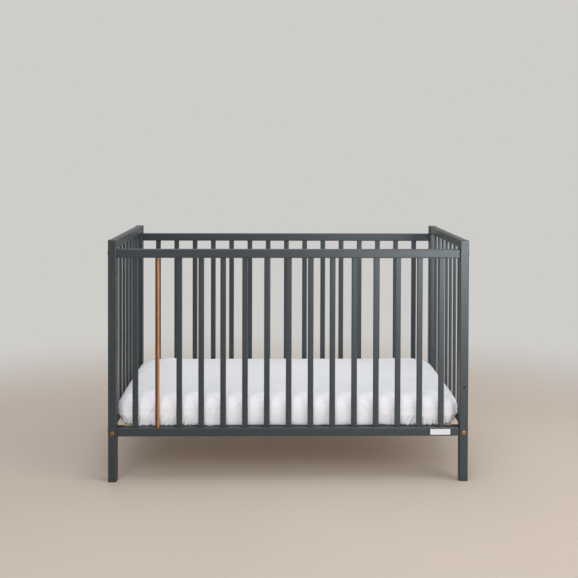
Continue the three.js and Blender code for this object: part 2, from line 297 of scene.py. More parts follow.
def fill(node, **sockets):
    """Fills a node's sockets, each with a value or with a (node, output) pair that is linked to it."""
    for key, value in sockets.items():
        place = int(key[1:]) if key[0] == "_" else key.replace("_", " ")
        if isinstance(value, tuple) and isinstance(value[0], bpy.types.Node):
            node.id_data.links.new(value[0].outputs[value[1]], node.inputs[place])
        else:
            node.inputs[place].default_value = value


def add_node(tree, kind, settings=None, stops=(), **sockets):
    """Adds a shader node with its settings and links, and a ramp's (place, colour) stops."""
    node = tree.nodes.new("ShaderNode" + kind)
    for key, value in (settings or {}).items():
        setattr(node, key, value)
    for _ in stops[2:]:
        node.color_ramp.elements.new(0.5)
    for number, (position, tint) in enumerate(stops):
        node.color_ramp.elements[number].position = position
        node.color_ramp.elements[number].color = (*tint, 1)
    fill(node, **sockets)
    return node


def new_material(name):
    """An empty material with its shader, and the piece's own coordinates."""
    material = bpy.data.materials.new(name)
    material.use_nodes = True
    tree = material.node_tree
    return material, tree, tree.nodes["Principled BSDF"], add_node(tree, "TexCoord")


def shade(tint, factor):
    """A colour made lighter or darker."""
    return tuple(min(1, c * factor) for c in tint)


def streaks(axis, long, wide):
    """The scale that stretches a noise of one unit to a grain streak's length and width."""
    scale = [1 / wide] * 3
    scale[axis] = 1 / long
    return scale


def painted_beech(axis):
    """Beech, planed and sanded, sprayed with a satin water-based lacquer.

    To the eye: an even anthracite whose slight sheen breaks along the grain that shows through, a faint
    orange peel from the spray gun, and rounded edges painted lighter: partly the thinner film there, partly
    a painted highlight standing in for the sheen that the edges catch.
    """
    material, tree, shader, place = new_material("painted_beech_" + "xyz"[axis])
    paint = tuple(bpy.context.scene.cot_colours.paint)
    # Grain ridges are 0.5 mm wide in beech. They are drawn 1.6 mm wide and 90 mm long, to show.
    grain_place = add_node(tree, "Mapping", Vector=(place, "Object"),
                           Scale=streaks(axis, 90 * MM, 1.6 * MM))
    grain = add_node(tree, "TexNoise", Vector=(grain_place, 0), Scale=1.0, Detail=3.0, Roughness=0.6)
    # The film's thickness wanders over about 120 mm.
    cloud = add_node(tree, "TexNoise", Vector=(place, "Object"), Scale=1 / (120 * MM), Detail=2.0)
    tone = add_node(tree, "ValToRGB", stops=[(0.3, shade(paint, 0.93)), (0.7, shade(paint, 1.07))],
                    Fac=(cloud, 0))
    lines = add_node(tree, "ValToRGB", stops=[(0.35, (0.9, 0.9, 0.9)), (0.65, (1.06, 1.06, 1.06))],
                     Fac=(grain, 0))
    body = add_node(tree, "Mix", {"data_type": "RGBA", "blend_type": "MULTIPLY"}, Factor=1.0,
                    _6=(tone, 0), _7=(lines, 0))
    # A rounded edge is where the surface faces no single axis: the sum of the normal's parts passes 1.
    parts = add_node(tree, "VectorMath", {"operation": "ABSOLUTE"}, _0=(place, "Normal"))
    total = add_node(tree, "VectorMath", {"operation": "DOT_PRODUCT"}, _0=(parts, 0), _1=(1, 1, 1))
    edge = add_node(tree, "MapRange", Value=(total, "Value"), From_Min=1.08, From_Max=1.4, To_Min=0.0,
                    To_Max=0.5)
    # Painted highlight: rounded edges are mixed towards a much lighter paint, for the sheen they catch as
    # well as for the thinner film there.
    thin_film_and_edge_sheen = add_node(tree, "Mix", {"data_type": "RGBA"}, Factor=(edge, 0), _6=(body, 2),
                    _7=(*shade(paint, 1.9), 1))
    rough = add_node(tree, "MapRange", Value=(grain, 0), To_Min=0.36, To_Max=0.5)
    # Orange peel is about 1 mm across on such lacquer; it is drawn at 2.5 mm.
    peel = add_node(tree, "TexNoise", Vector=(place, "Object"), Scale=1 / (2.5 * MM), Detail=1.0)
    ridges = add_node(tree, "Bump", Strength=0.25, Distance=0.12 * MM, Height=(grain, 0))
    skin = add_node(tree, "Bump", Strength=0.3, Distance=0.05 * MM, Height=(peel, 0), Normal=(ridges, 0))
    fill(shader, Base_Color=(thin_film_and_edge_sheen, 2), Roughness=(rough, 0), Normal=(skin, 0), IOR=1.5)
    return material


def oiled_beech():
    """Beech dowel, turned and hard-wax oiled.

    To the eye: a warm orange brown with straight darker lines along the bar, short dark flecks of the
    wood's rays, and a low sheen.
    """
    material, tree, shader, place = new_material("beech_hard_wax_oiled")
    wood = tuple(bpy.context.scene.cot_colours.wood)
    # Year rings cut lengthways lie about 3 mm apart on a dowel and run its whole length.
    rings_place = add_node(tree, "Mapping", Vector=(place, "Object"), Scale=streaks(2, 300 * MM, 3 * MM))
    rings = add_node(tree, "TexNoise", Vector=(rings_place, 0), Scale=1.0, Detail=4.0, Roughness=0.55)
    tone = add_node(tree, "ValToRGB",
                    stops=[(0.3, shade(wood, 0.66)), (0.5, wood), (0.72, shade(wood, 1.2))],
                    Fac=(rings, 0))
    # Ray flecks are 2 mm long and 0.3 mm wide; they are drawn 6 mm by 0.8 mm.
    fleck_place = add_node(tree, "Mapping", Vector=(place, "Object"), Scale=streaks(2, 6 * MM, 0.8 * MM))
    flecks = add_node(tree, "TexNoise", Vector=(fleck_place, 0), Scale=1.0, Detail=1.0)
    spots = add_node(tree, "ValToRGB", stops=[(0.56, (1, 1, 1)), (0.7, (0.72, 0.66, 0.6))],
                     Fac=(flecks, 0))
    speckled = add_node(tree, "Mix", {"data_type": "RGBA", "blend_type": "MULTIPLY"}, Factor=1.0,
                        _6=(tone, 0), _7=(spots, 0))
    # Painted shade and light: the dowel is made darker on its left and paler on its right, standing in for
    # light that falls on it from the right.
    low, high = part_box("natural_round_bar")
    across = add_node(tree, "SeparateXYZ", Vector=(place, "Object"))
    painted_light_across = add_node(tree, "MapRange", {"interpolation_type": "SMOOTHSTEP"}, Value=(across, "X"),
                   From_Min=low.x, From_Max=high.x)
    painted_side_shading = add_node(tree, "ValToRGB", stops=[(0.6, (0.5, 0.4, 0.32)), (0.78, (1.8, 2.4, 2.65))],
                     Fac=(painted_light_across, 0))
    body = add_node(tree, "Mix", {"data_type": "RGBA", "blend_type": "MULTIPLY"}, Factor=1.0,
                    _6=(speckled, 2), _7=(painted_side_shading, 0))
    rough = add_node(tree, "MapRange", Value=(rings, 0), To_Min=0.24, To_Max=0.36)
    pores = add_node(tree, "Bump", Strength=0.3, Distance=0.1 * MM, Height=(flecks, 0))
    fill(shader, Base_Color=(body, 2), Roughness=(rough, 0), Normal=(pores, 0), IOR=1.48)
    return material


def planed_pine(axis):
    """Pine, planed and left raw.

    To the eye: pale straw with soft orange year rings along the board, and a dry, matt surface.
    """
    material, tree, shader, place = new_material("planed_pine_" + "xyz"[axis])
    # Year rings lie about 6 mm apart across a flat-sawn slat and waver over 150 mm of its length.
    rings_place = add_node(tree, "Mapping", Vector=(place, "Object"),
                           Scale=streaks(axis, 150 * MM, 9 * MM))
    waver = add_node(tree, "TexNoise", Vector=(rings_place, 0), Scale=1.0, Detail=2.0)
    rings = add_node(tree, "Math", {"operation": "PINGPONG"}, _0=(waver, 0), _1=0.06)
    tone = add_node(tree, "ValToRGB",
                    stops=[(0.0, linear("CFB291")), (0.045, linear("DEC9AA")), (0.06, linear("BB966C"))],
                    Fac=(rings, 0))
    fibre_place = add_node(tree, "Mapping", Vector=(place, "Object"),
                           Scale=streaks(axis, 40 * MM, 0.9 * MM))
    fibre = add_node(tree, "TexNoise", Vector=(fibre_place, 0), Scale=1.0, Detail=3.0)
    rough = add_node(tree, "MapRange", Value=(fibre, 0), To_Min=0.6, To_Max=0.8)
    bump = add_node(tree, "Bump", Strength=0.4, Distance=0.15 * MM, Height=(fibre, 0))
    fill(shader, Base_Color=(tone, 0), Roughness=(rough, 0), Normal=(bump, 0))
    return material


def brassed_steel():
    """Steel bolt, turned and electroplated with brass.

    To the eye: a warm metal with fine turning rings, slightly dulled by handling.
    """
    material, tree, shader, place = new_material("steel_brass_plated")
    brass = tuple(bpy.context.scene.cot_colours.brass)
    # Handling marks wander over about 4 mm.
    dull = add_node(tree, "TexNoise", Vector=(place, "Object"), Scale=1 / (4 * MM), Detail=4.0)
    tone = add_node(tree, "ValToRGB", stops=[(0.3, shade(brass, 0.8)), (0.7, shade(brass, 1.1))],
                    Fac=(dull, 0))
    rough = add_node(tree, "MapRange", Value=(dull, 0), To_Min=0.28, To_Max=0.45)
    # Scratches from the turning tool are 0.05 mm apart; they are drawn at 0.4 mm.
    marks = add_node(tree, "TexNoise", Vector=(place, "Object"), Scale=1 / (0.4 * MM), Detail=1.0)
    bump = add_node(tree, "Bump", Strength=0.15, Distance=0.03 * MM, Height=(marks, 0))
    fill(shader, Base_Color=(tone, 0), Roughness=(rough, 0), Normal=(bump, 0), Metallic=1.0)
    return material


def enamelled_plate(name, tint, roughness):
    """Aluminium plate, stove enamelled.

    To the eye: a smooth, even, glossy coat, with the faintest ripple.
    """
    material, tree, shader, place = new_material(name)
    ripple = add_node(tree, "TexNoise", Vector=(place, "Object"), Scale=1 / (6 * MM), Detail=1.0)
    tone = add_node(tree, "ValToRGB", stops=[(0.3, shade(tint, 0.96)), (0.7, shade(tint, 1.02))],
                    Fac=(ripple, 0))
    bump = add_node(tree, "Bump", Strength=0.1, Distance=0.05 * MM, Height=(ripple, 0))
    fill(shader, Base_Color=(tone, 0), Normal=(bump, 0), Roughness=roughness)
    return material


def weave(tree, place, spacing):
    """Height of a plain weave whose threads lie this far apart, from flat cloth coordinates."""
    flat = add_node(tree, "Mapping", Vector=(place, "UV"), Scale=(1 / spacing, 1 / spacing, 1))
    warp, weft = (add_node(tree, "TexWave", {"bands_direction": way}, Vector=(flat, 0), Scale=0.32,
                           Distortion=0.6, Detail=1.0) for way in "XY")
    return add_node(tree, "Math", {"operation": "MULTIPLY"}, _0=(warp, 1), _1=(weft, 1))


def cotton_percale():
    """Cotton percale, plain woven and washed.

    To the eye: a soft cool white, matt, with a fine weave and small creases left from the wash.
    """
    material, tree, shader, place = new_material("cotton_percale")
    cotton = tuple(bpy.context.scene.cot_colours.sheet)
    # Percale has about 7 threads to a millimetre each way. They are drawn 1.2 mm apart, to show.
    threads = weave(tree, place, 1.2 * MM)
    cloud = add_node(tree, "TexNoise", Vector=(place, "Object"), Scale=1 / (80 * MM), Detail=3.0)
    tone = add_node(tree, "ValToRGB", stops=[(0.3, shade(cotton, 0.97)), (0.7, shade(cotton, 1.02))],
                    Fac=(cloud, 0))
    # Creases from drying lie 15 to 40 mm apart.
    crease = add_node(tree, "TexNoise", {"noise_type": "RIDGED_MULTIFRACTAL"}, Vector=(place, "Object"),
                      Scale=1 / (70 * MM), Detail=3.0, Roughness=0.5, Distortion=0.4)
    crumple = add_node(tree, "Bump", Strength=0.35, Distance=1.2 * MM, Height=(crease, 0))
    cloth = add_node(tree, "Bump", Strength=0.25, Distance=0.15 * MM, Height=(threads, 0),
                     Normal=(crumple, 0))
    fill(shader, Base_Color=(tone, 0), Normal=(cloth, 0), Roughness=0.9, Sheen_Weight=0.15,
         Specular_IOR_Level=0.25)
    return material


def knitted_ticking():
    """Polyester knit, the mattress's own cover.

    To the eye: an off-white stocking with small raised ribs.
    """
    material, tree, shader, place = new_material("knitted_ticking")
    # Ribs of the knit lie 3 mm apart.
    ribs = weave(tree, place, 3 * MM)
    tone = add_node(tree, "ValToRGB", stops=[(0.0, linear("D3D3CF")), (1.0, linear("EBEBE6"))],
                    Fac=(ribs, 0))
    bump = add_node(tree, "Bump", Strength=0.6, Distance=0.5 * MM, Height=(ribs, 0))
    fill(shader, Base_Color=(tone, 0), Normal=(bump, 0), Roughness=0.95)
    return material


FINISHES = {}


def once(make, *values):
    """The material that a function makes, made the first time it is asked for and then shared."""
    if (make, values) not in FINISHES:
        FINISHES[make, values] = make(*values)
    return FINISHES[make, values]


# ---------------------------------------------------------------- frame and fittings


def middle(node):
    """The middle of a node's box."""
    low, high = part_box(node)
    return (low + high) / 2


def bar_names(side):
    """The nodes of one side panel's flat bars, left to right."""
    return sorted(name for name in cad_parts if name.startswith(f"{side}_bar_"))


def add_bars(boxes, names, nodes, sizes):
    """Models the first of a panel's flat bars, and a copy of it in each one's place."""
    first = timber("bar", *boxes[0], Z, sizes.bar_edge, 0)
    crisp(first)
    for (low, _), name, node in zip(boxes, names, nodes):
        bar = copy_of(first, name, low - boxes[0][0])
        finish(bar, once(painted_beech, 2), FRAME_BODY, node)
    bpy.data.objects.remove(first)


class COT_OT_posts(bpy.types.Operator):
    """Model the four posts, with their bolt holes"""

    bl_idname = "cot.posts"
    bl_label = "Posts"

    rim_ease = 0.5 * MM

    def execute(self, context):
        sizes = context.scene.cot_timber
        for post in (f"{side}_{end}" for side in SIDES for end in ENDS):
            low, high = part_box(post + "_post")
            piece = timber(post + "_post_wood", low, high, Z, sizes.edge, sizes.end_ease)
            lower = middle(post + "_base_bolt").z
            upper = lower + sizes.base_step
            through = high.y - low.y + 2 * sizes.hole
            bores = [(Y, lower), (Y, upper)]
            bores += [(X, middle(f"{post}_{level}_panel_bolt").z) for level in ("upper", "lower")]
            for axis, height in bores:
                place = middle(post + "_post")
                place.z = height
                cut(piece, [rod("bore", place, axis, sizes.hole, through, 32)])
            self.soften_rims(piece, low, high, upper, sizes.hole)
            crisp(piece)
            finish(piece, once(painted_beech, 2), FRAME_BODY, post + "_post")
        return {"FINISHED"}

    def soften_rims(self, piece, low, high, height, hole):
        """Breaks the sharp rims of the empty bore on a post's front and rear faces."""
        centre = (low.x + high.x) / 2

        def rim(edge):
            if not at_end(edge, Y, (low.y, high.y)):
                return False
            return all(abs(math.hypot(v.co.x - centre, v.co.z - height) - hole / 2) < 1e-4
                       for v in edge.verts)

        edit(piece, "EDGE", rim)
        bevel(self.rim_ease, 2)
        deselect_all()


class COT_OT_end_panels(bpy.types.Operator):
    """Model the end panels: top and bottom rails and their seven bars"""

    bl_idname = "cot.end_panels"
    bl_label = "End panels"

    bars = 7
    housing = 10 * MM

    def execute(self, context):
        sizes = context.scene.cot_timber
        for end in ENDS:
            top_rail, grille = f"{end}_end_top_rail", f"{end}_end_grille"
            top_low, top_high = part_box(top_rail)
            grille_low, grille_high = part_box(grille)
            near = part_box(f"front_{end}_post")[1].y + sizes.fit
            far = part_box(f"rear_{end}_post")[0].y - sizes.fit
            bottom_top = grille_low.z + (top_high.z - top_low.z)
            centre = (top_low.x + top_high.x) / 2
            boxes = self.bar_boxes(centre, bottom_top - self.housing, grille_high.z)
            rails = [("top", top_rail, top_low.z, top_high.z), ("bottom", grille, grille_low.z, bottom_top)]
            for level, node, floor, ceiling in rails:
                low, high = Vector((top_low.x, near, floor)), Vector((top_high.x, far, ceiling))
                piece = timber(f"{end}_end_{level}_rail_wood", low, high, Y, sizes.edge, sizes.end_ease)
                cut(piece, [mortise(*box, sizes) for box in boxes])
                crisp(piece)
                finish(piece, once(painted_beech, 1), FRAME_BODY, node)
            names = [f"{end}_end_bar_{k + 1:02d}" for k in range(self.bars)]
            add_bars(boxes, names, [grille] * self.bars, sizes)
        return {"FINISHED"}

    def bar_boxes(self, centre, foot, head):
        """The corners of each end bar. They are as wide, thick and far apart as the side bars."""
        low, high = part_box("front_bar_01")
        width, thickness = high.x - low.x, high.y - low.y
        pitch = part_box("rear_bar_02")[0].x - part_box("rear_bar_01")[0].x
        places = [(k - (self.bars - 1) / 2) * pitch for k in range(self.bars)]
        return [(Vector((centre - thickness / 2, y - width / 2, foot)),
                 Vector((centre + thickness / 2, y + width / 2, head))) for y in places]


class COT_OT_side_panels(bpy.types.Operator):
    """Model the side panels: top and bottom rails and their flat bars"""

    bl_idname = "cot.side_panels"
    bl_label = "Side panels"

    def execute(self, context):
        sizes = context.scene.cot_timber
        for side in SIDES:
            bars = bar_names(side)
            for rail in (f"{side}_top_rail", f"{side}_bottom_rail"):
                piece = timber(rail + "_wood", *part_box(rail), X, sizes.edge, sizes.rail_ease)
                cutters = [mortise(*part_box(bar), sizes) for bar in bars]
                if side == "front":
                    cutters.append(self.round_mortise(sizes.fit))
                cut(piece, cutters)
                crisp(piece)
                finish(piece, once(painted_beech, 0), FRAME_BODY, rail)
            add_bars([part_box(bar) for bar in bars], [bar + "_wood" for bar in bars], bars, sizes)
        return {"FINISHED"}

    def round_mortise(self, fit):
        """A cutter for the round bar's mortises."""
        low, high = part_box("natural_round_bar")
        wide, tall = high.x - low.x + 2 * fit, high.z - low.z + 2 * fit
        return rod("mortise", (low + high) / 2, Z, wide, tall, 48)


class COT_OT_natural_bar(bpy.types.Operator):
    """Model the round bar in natural wood"""

    bl_idname = "cot.natural_bar"
    bl_label = "Natural bar"

    end_ease = 1 * MM

    def execute(self, context):
        node = "natural_round_bar"
        low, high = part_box(node)
        piece = rod("natural_bar_wood", (low + high) / 2, Z, high.x - low.x, high.z - low.z, 48)
        edit(piece, "EDGE", lambda edge: at_end(edge, Z, (low.z, high.z)))
        bevel(self.end_ease, 2)
        crisp(piece)
        finish(piece, once(oiled_beech), FRAME_BODY, node)
        return {"FINISHED"}


class COT_OT_base(bpy.types.Operator):
    """Model the slatted base: two long rails and the cross slats"""

    bl_idname = "cot.base"
    bl_label = "Slatted base"

    slat_edge, slat_end = 2 * MM, 1 * MM

    def execute(self, context):
        sizes = context.scene.cot_timber
        node = "slatted_base"
        low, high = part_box(node)
        rail_top = high.z - sizes.slat_thickness
        for side, sign in SIDES.items():
            near, far = sorted((sign * high.y, sign * high.y - sign * sizes.base_rail))
            start, stop = Vector((low.x, near, low.z)), Vector((high.x, far, rail_top))
            rail = timber(f"base_{side}_rail_wood", start, stop, X, sizes.edge, sizes.end_ease, 3)
            crisp(rail)
            finish(rail, once(painted_beech, 0), FRAME_BODY, node)
        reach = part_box("fitted_sheet")[1].x - sizes.slat_margin - sizes.slat_width / 2
        half = high.y - sizes.slat_setback
        start = Vector((-reach - sizes.slat_width / 2, -half, rail_top))
        stop = Vector((-reach + sizes.slat_width / 2, half, high.z))
        first = timber("slat", start, stop, Y, self.slat_edge, self.slat_end, 3)
        crisp(first)
        step = 2 * reach / (sizes.slats - 1)
        for k in range(sizes.slats):
            slat = copy_of(first, f"base_slat_{k + 1:02d}", X * step * k)
            finish(slat, once(planed_pine, 1), FRAME_BODY, node)
        bpy.data.objects.remove(first)
        return {"FINISHED"}


class COT_OT_bolts(bpy.types.Operator):
    """Model the bolts, each with a domed head and a hexagon socket"""

    bl_idname = "cot.bolts"
    bl_label = "Bolts"

    widest_head, shank_length = 15.5 * MM, 40 * MM
    # The key never leaves two sockets at the same angle.
    last_turn = 0.3

    def execute(self, context):
        model = self.bolt(context.scene.cot_metal)
        for side, side_sign in SIDES.items():
            for end, end_sign in ENDS.items():
                for kind in ("upper_panel", "lower_panel", "base"):
                    node = f"{side}_{end}_{kind}_bolt"
                    axis, sign = (1, side_sign) if kind == "base" else (0, end_sign)
                    low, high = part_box(node)
                    place = (low + high) / 2
                    place.xy = middle(f"{side}_{end}_post").xy
                    place[axis] = high[axis] if sign > 0 else low[axis]
                    turn = (-Y).rotation_difference((X, Y)[axis] * sign).to_matrix().to_4x4()
                    if kind != "base":
                        turn = turn @ Matrix.Rotation(side_sign * end_sign * self.last_turn, 4, "Y")
                    bolt = copy_of(model, node + "_metal", place, turn)
                    finish(bolt, once(brassed_steel), FRAME_BODY, node)
        bpy.data.objects.remove(model)
        return {"FINISHED"}

    def bolt(self, metal):
        """A bolt that points along Y, with the front of its head at the origin."""
        low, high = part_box("front_left_base_bolt")
        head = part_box("front_left_post")[0].y - low.y
        across = min(high.z - low.z, self.widest_head)
        piece = rod("bolt", Vector((0, head / 2, 0)), Y, across, head, 48)
        edit(piece, "EDGE", lambda edge: at_end(edge, Y, (0,)))
        bevel(head * 0.75, 4)
        edit(piece, "FACE", lambda face: face.normal.y > 0.9)
        bpy.ops.mesh.inset(thickness=(across - metal.shank) / 2)
        bpy.ops.mesh.extrude_region_move(TRANSFORM_OT_translate={"value": (0, self.shank_length, 0)})
        deselect_all()
        cut(piece, [rod("socket", Vector((0, 0, 0)), Y, metal.socket, 2 * metal.socket_depth, 6)])
        crisp(piece, 30)
        return piece


class COT_OT_name_plate(bpy.types.Operator):
    """Model the name plate, left blank"""

    bl_idname = "cot.name_plate"
    bl_label = "Name plate"

    rim, step, rise = 0.35 * MM, 0.25 * MM, 0.15 * MM

    def execute(self, context):
        metal = context.scene.cot_metal
        node = "name_plate"
        low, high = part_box(node)
        piece = block("name_plate_enamel", low, high)
        edit(piece, "EDGE", lambda edge: runs_along(edge, Y))
        bevel(metal.plate_corner, 6)
        edit(piece, "EDGE", lambda edge: at_end(edge, Y, (low.y,)))
        bevel(self.rim, 2)
        edit(piece, "FACE", lambda face: face.normal.y < -0.9 and face.calc_area() > 1e-4)
        bpy.ops.mesh.inset(thickness=metal.plate_border - self.rim)
        bpy.ops.mesh.inset(thickness=self.step, depth=self.rise)
        border = once(enamelled_plate, "navy_enamel", linear("1E212B"), 0.3)
        face = once(enamelled_plate, "white_enamel", linear("E3E4E7"), 0.25)
        crisp(piece, 30)
        finish(piece, [border, face], FRAME_BODY, node)
        largest = max(piece.data.polygons, key=lambda polygon: polygon.area * (polygon.normal.y < -0.9))
        largest.material_index = 1
        return {"FINISHED"}


# ---------------------------------------------------------------- bedding


def slab(name, low, high, corner, top, bottom):
    """A slab with rounded corners and softly rounded top and bottom edges."""
    piece = block(name, low, high)
    edit(piece, "EDGE", lambda edge: runs_along(edge, Z))
    bevel(corner, 12)
    edit(piece, "EDGE", lambda edge: at_end(edge, Z, (high.z,)))
    bevel(top, 8)
    edit(piece, "EDGE", lambda edge: at_end(edge, Z, (low.z,)))
    bevel(bottom, 5)
    deselect_all()
    return piece


def between(low, value, high):
    """A value kept between two bounds."""
    return min(high, max(low, value))


def shaped(piece, low, high, bedding):
    """Crowns the top, swells the sides, and draws the corners down at the top and in at the bottom."""
    for vertex in piece.data.vertices:
        x, y = vertex.co.x / high.x, vertex.co.y / high.y
        height = between(0, (vertex.co.z - low.z) / (high.z - low.z), 1)
        short = high.x - abs(vertex.co.x), high.y - abs(vertex.co.y)
        corner = max(0, 1 - math.hypot(*short) / bedding.corner_reach)
        beside = max(0, 1 - short[1] / bedding.corner_reach)
        swell = math.sin(math.pi * height) ** 2
        tuck = bedding.corner_tuck * beside * max(0, 1 - 2 * height) ** 2
        vertex.co.z += bedding.crown * height * (1 - x ** 4) * (1 - y ** 4)
        vertex.co.z -= bedding.corner_drop * height * corner ** 2
        vertex.co.x += x ** 5 * (bedding.end_swell * swell - tuck)
        vertex.co.y += y ** 5 * bedding.side_swell * swell


def flat_coordinates(piece):
    """Gives every face the two coordinates that lie in it, in metres, for a weave to follow."""
    layer = piece.data.uv_layers.new(name="cloth")
    points = [v.co.copy() for v in piece.data.vertices]
    for polygon in piece.data.polygons:
        parts = [abs(c) for c in polygon.normal]
        across = parts.index(max(parts))
        one, two = [axis for axis in range(3) if axis != across]
        for loop in polygon.loop_indices:
            point = points[piece.data.loops[loop].vertex_index]
            layer.data[loop].uv = (point[one], point[two])


class COT_OT_mattress(bpy.types.Operator):
    """Model the foam mattress in its knitted cover"""

    bl_idname = "cot.mattress"
    bl_label = "Mattress"

    voxel = 14 * MM

    def execute(self, context):
        bedding = context.scene.cot_bedding
        node = "mattress_core"
        low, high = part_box(node)
        top = Vector((high.x, high.y, high.z - bedding.crown))
        piece = slab("mattress_foam", low, top, bedding.corner, bedding.top_edge, bedding.bottom_edge)
        apply(piece, "REMESH", mode="VOXEL", voxel_size=self.voxel)
        shaped(piece, low, top, bedding)
        make_active(piece)
        bpy.ops.object.shade_smooth()
        flat_coordinates(piece)
        finish(piece, once(knitted_ticking), BEDDING_BODY, node)
        return {"FINISHED"}


class COT_OT_sheet(bpy.types.Operator):
    """Model the fitted sheet: simulated cloth with gathers at its corners"""

    bl_idname = "cot.sheet"
    bl_label = "Fitted sheet"

    margin, thickness = 1.6 * MM, 0.8 * MM
    # The mesh is made finer this far in over the top and under the mattress, and this far up its side.
    top_ring, under_edge, bottom_strip = 60 * MM, 14 * MM, 10 * MM
    deepest_fold, puff = 8.5 * MM, 2.2 * MM

    def execute(self, context):
        bedding = context.scene.cot_bedding
        core_low, core_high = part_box("mattress_core")
        low = core_low - Vector((1, 1, 0.6)) * self.margin
        high = core_high + Vector((1, 1, 0)) * self.margin
        piece = slab("fitted_sheet_cloth", low, high, bedding.corner + self.margin,
                     bedding.top_edge, bedding.bottom_edge)
        apply(piece, "REMESH", mode="VOXEL", voxel_size=bedding.grid)
        shaped(piece, low, high, bedding)
        self.open_underside(piece, low, high, bedding.hem)
        self.settle(context.scene, piece, low, high, bedding)
        self.refine(piece, low, high, bedding)
        self.crease(piece, low, high)
        self.gather(piece, low, high, bedding)
        self.hang(piece, low, context.scene)
        self.keep_inside(piece, context.scene.cot_timber)
        apply(piece, "SOLIDIFY", thickness=self.thickness, offset=-1, use_even_offset=False)
        make_active(piece)
        bpy.ops.object.shade_smooth()
        flat_coordinates(piece)
        finish(piece, once(cotton_percale), BEDDING_BODY, "fitted_sheet")
        return {"FINISHED"}

    def open_underside(self, piece, low, high, hem):
        """Leaves only the turned-under strip of the sheet's underside."""

        def inner(face):
            centre = face.calc_center_median()
            inside = abs(centre.x) < high.x - hem and abs(centre.y) < high.y - hem
            return centre.z < low.z + 2 * MM and inside

        edit(piece, "FACE", inner)
        bpy.ops.mesh.delete(type="FACE")
        bpy.ops.object.mode_set(mode="OBJECT")

    def settle(self, scene, piece, low, high, bedding):
        """Drapes the spare cloth over the mattress by simulation, with the hem held."""
        core = bpy.data.objects["mattress_foam"]
        core.modifiers.new("Collision", "COLLISION")
        core.collision.thickness_outer = 1 * MM
        core.collision.thickness_inner = 30 * MM
        core.collision.cloth_friction = 10
        normals = [v.normal.copy() for v in piece.data.vertices]
        for vertex, normal in zip(piece.data.vertices, normals):
            swell = noise.noise(vertex.co * 14) + 0.6 * noise.noise(vertex.co * 37 + Vector((3, 1, 7)))
            vertex.co += normal * swell * 1.2 * MM
        held = piece.vertex_groups.new(name="hem")
        for vertex in piece.data.vertices:
            if vertex.co.z < low.z + 3 * MM and abs(vertex.normal.z) > 0.9:
                held.add([vertex.index], 1, "REPLACE")
        slack = piece.vertex_groups.new(name="slack")
        for vertex in piece.data.vertices:
            to_corner = math.hypot(high.x - abs(vertex.co.x), high.y - abs(vertex.co.y))
            amount = 1.1 - to_corner / (300 * MM) + 0.5 * noise.noise(vertex.co * 6 + Vector((11, 5, 2)))
            slack.add([vertex.index], between(0.15, amount, 1), "REPLACE")
        cloth = piece.modifiers.new("Cloth", "CLOTH")
        cotton = {
            "quality": 6, "mass": 0.15, "tension_stiffness": 15, "compression_stiffness": 15,
            "shear_stiffness": 5, "bending_stiffness": 0.02, "vertex_group_mass": "hem",
            "vertex_group_shrink": "slack", "shrink_min": 0, "shrink_max": -2 * bedding.spare,
        }
        for key, value in cotton.items():
            setattr(cloth.settings, key, value)
        cloth.settings.effector_weights.gravity = 0.5
        cloth.collision_settings.distance_min = 1 * MM
        cloth.collision_settings.use_self_collision = False
        cloth.point_cache.frame_start = 1
        cloth.point_cache.frame_end = bedding.frames
        scene.frame_start, scene.frame_end = 1, bedding.frames
        for number in range(1, bedding.frames + 1):
            scene.frame_set(number)
        make_active(piece)
        bpy.ops.object.modifier_apply(modifier=cloth.name)
        core.modifiers.clear()
        piece.vertex_groups.clear()

    def refine(self, piece, low, high, bedding):
        """Halves the mesh on the sides and round the top, and again along the bottom edge."""

        def near_edge(centre, reach):
            return abs(centre.x) > high.x - reach or abs(centre.y) > high.y - reach

        def outer(face):
            centre = face.calc_center_median()
            inside = abs(centre.x) < high.x - self.top_ring and abs(centre.y) < high.y - self.top_ring
            return centre.z > low.z + 1 * MM and not inside or near_edge(centre, self.under_edge)

        def bottom(face):
            centre = face.calc_center_median()
            by_corner = abs(centre.x) > high.x - bedding.gather_reach
            tall = bedding.gather_height if by_corner else self.bottom_strip
            return centre.z < low.z + tall and near_edge(centre, self.under_edge)

        for wanted in (outer, bottom):
            edit(piece, "FACE", wanted)
            bpy.ops.mesh.subdivide(number_cuts=1, smoothness=0.6)
            bpy.ops.mesh.vertices_smooth(factor=0.4, repeat=1)
        bpy.ops.object.mode_set(mode="OBJECT")

    def creases(self, low, high):
        """Soft folds that fan from the corners over the sides and the top: foot, head, width, depth."""
        rng = random.Random(19)

        def mm(least, most):
            return rng.uniform(least, most) * MM

        rows = []
        for side in SIDES.values():
            for end in ENDS.values():
                for _ in range(7):
                    foot = Vector((end * (high.x - mm(60, 420)), side * high.y, low.z + mm(4, 34)))
                    head = foot + Vector((-end * mm(10, 60), 0, mm(40, 75)))
                    rows.append((foot, head, mm(3.5, 6), mm(2.6, 4.6)))
                for _ in range(3):
                    foot = Vector((end * high.x, side * (high.y - mm(50, 220)), low.z + mm(4, 30)))
                    head = foot + Vector((0, -side * mm(10, 50), mm(40, 75)))
                    rows.append((foot, head, mm(3.5, 6), mm(2.4, 4.2)))
                for _ in range(4):
                    foot = Vector((end * (high.x - mm(25, 110)), side * (high.y - mm(12, 50)), high.z))
                    head = foot + Vector((-end * mm(60, 160), -side * mm(20, 110), 0))
                    rows.append((foot, head, mm(5, 8), mm(2.8, 4.6)))
        return rows

